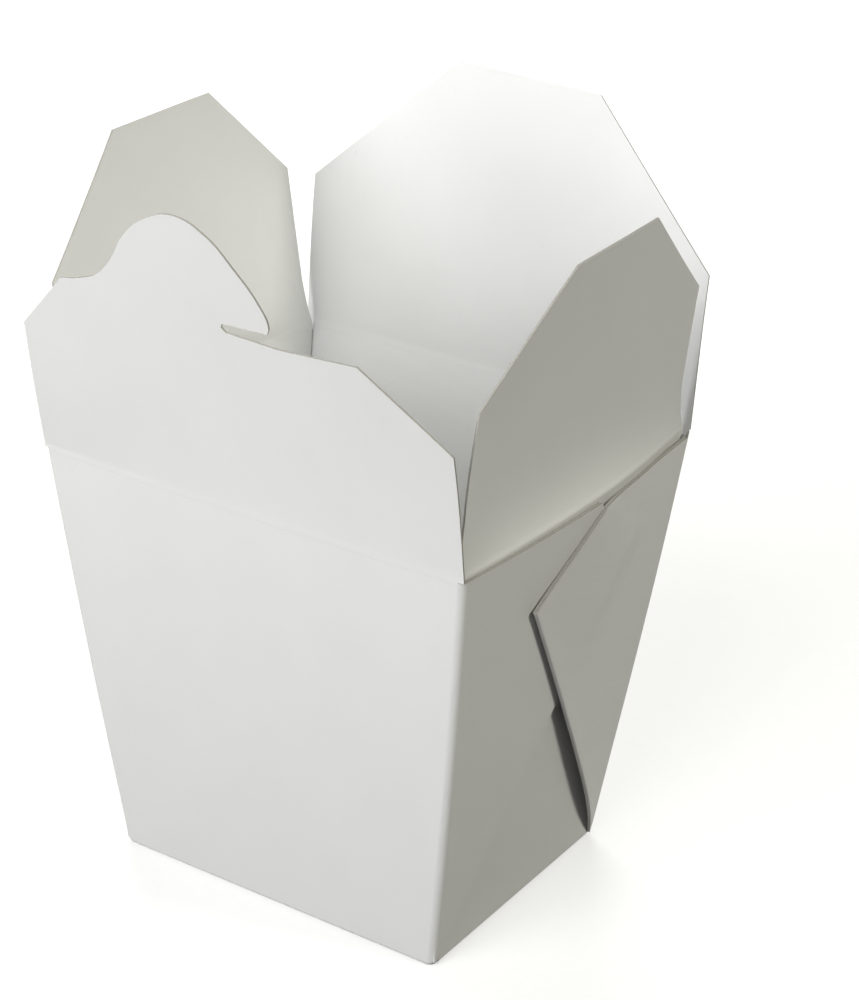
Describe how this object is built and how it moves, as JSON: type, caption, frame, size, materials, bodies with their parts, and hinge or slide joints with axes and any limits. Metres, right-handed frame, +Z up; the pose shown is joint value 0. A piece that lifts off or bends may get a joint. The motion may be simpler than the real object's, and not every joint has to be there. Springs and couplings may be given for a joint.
{
  "type": "takeaway french fry pail",
  "caption": "Open, empty takeaway pail folded from white board: a tapered tub with folded corner gussets and hinged closing flaps, the front one with a hooked locking tab.",
  "frame": {"origin": "middle of the tub's underside, on the surface it stands on", "axes": "+Z up, the front wall with the tabbed flap faces -Y, +X is the viewer's right when facing that wall"},
  "size_m": [0.1128, 0.1197, 0.1678],
  "materials": {
    "coated_board": "white clay-coated paperboard, smooth with a faint sheen"
  },
  "bodies": {
    "tub": {"tub": "coated_board"},
    "front_flap": {"front_flap": "coated_board"},
    "back_flap": {"back_flap": "coated_board"},
    "left_flap": {"left_flap": "coated_board"},
    "right_flap": {"right_flap": "coated_board"}
  },
  "joints": [
    {"name": "front_crease", "type": "hinge", "parent": "tub", "child": "front_flap", "pos_m": [0, -0.04698, 0.101], "axis": [-1, 0, 0], "range_deg": [-70, 90]},
    {"name": "back_crease", "type": "hinge", "parent": "tub", "child": "back_flap", "pos_m": [0, 0.04698, 0.101], "axis": [1, 0, 0], "range_deg": [-78, 93]},
    {"name": "left_crease", "type": "hinge", "parent": "tub", "child": "left_flap", "pos_m": [-0.05103, 0, 0.1004], "axis": [0, 1, 0], "range_deg": [-78, 107]},
    {"name": "right_crease", "type": "hinge", "parent": "tub", "child": "right_flap", "pos_m": [0.05103, 0, 0.1004], "axis": [0, -1, 0], "range_deg": [-81, 101.5]}
  ]
}
